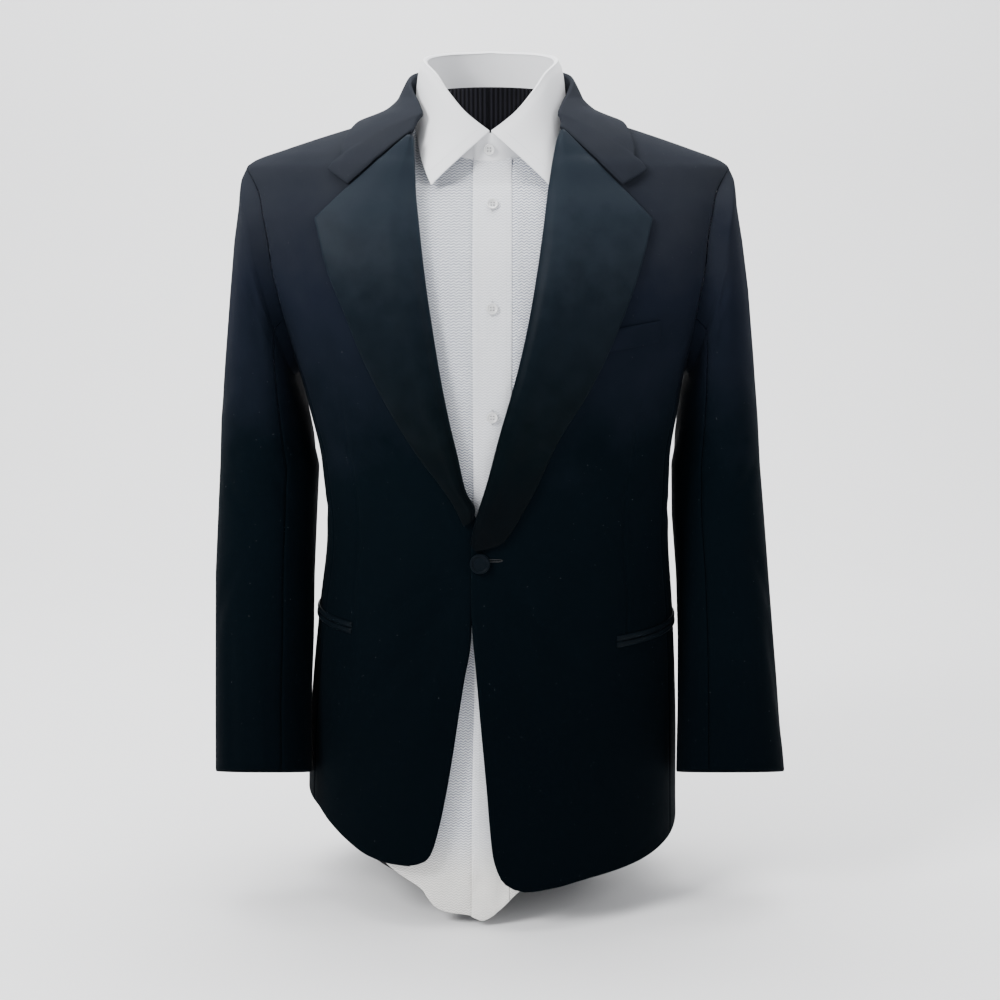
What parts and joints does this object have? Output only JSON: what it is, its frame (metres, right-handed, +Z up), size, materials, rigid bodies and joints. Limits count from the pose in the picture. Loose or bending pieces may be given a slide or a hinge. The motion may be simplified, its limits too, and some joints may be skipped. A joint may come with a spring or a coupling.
{
  "type": "tuxedo jacket and dress shirt on a torso form",
  "caption": "Black one-button dinner jacket with wide satin notch lapels over a white zig-zag weave dress shirt, worn by a limbless torso form.",
  "frame": {"origin": "middle of the torso form's flat base, on the floor", "axes": "+Z up, the front faces -Y, +X is the wearer's left"},
  "size_m": [0.5955, 0.2871, 0.882],
  "materials": {
    "wool": "fine matt wool twill, near black",
    "satin": "slate black satin with a soft sheen",
    "shirting": "white cotton, zig-zag dobby on the body, plain on collar and placket",
    "pearl": "pearly white shirt button",
    "jersey": "black ribbed knit cover"
  },
  "bodies": {
    "root": {"jacket_front_left": "wool", "jacket_front_right": "wool", "jacket_side_left": "wool", "jacket_side_right": "wool", "jacket_back_left": "wool", "jacket_back_right": "wool", "jacket_sleeve_top_left": "wool", "jacket_sleeve_top_right": "wool", "jacket_sleeve_under_left": "wool", "jacket_sleeve_under_right": "wool", "jacket_collar": "wool", "jacket_collar_stand": "wool", "breast_welt": "wool", "lapel_left": "satin", "lapel_right": "satin", "pocket_besom_upper_left": "satin", "pocket_besom_lower_left": "satin", "pocket_besom_upper_right": "satin", "pocket_besom_lower_right": "satin", "front_button": "satin", "shirt_front_left": "shirting", "shirt_front_right": "shirting", "shirt_placket": "shirting", "shirt_back": "shirting", "shirt_yoke": "shirting", "shirt_collar_stand": "shirting", "shirt_collar_leaf": "shirting", "shirt_sleeve_left": "shirting", "shirt_sleeve_right": "shirting", "shirt_cuff_left": "shirting", "shirt_cuff_right": "shirting", "shirt_button_1": "pearl", "shirt_button_2": "pearl", "shirt_button_3": "pearl", "shirt_button_4": "pearl", "shirt_button_5": "pearl", "shirt_button_6": "pearl", "shirt_button_7": "pearl", "torso_form": "jersey"}
  },
  "joints": []
}
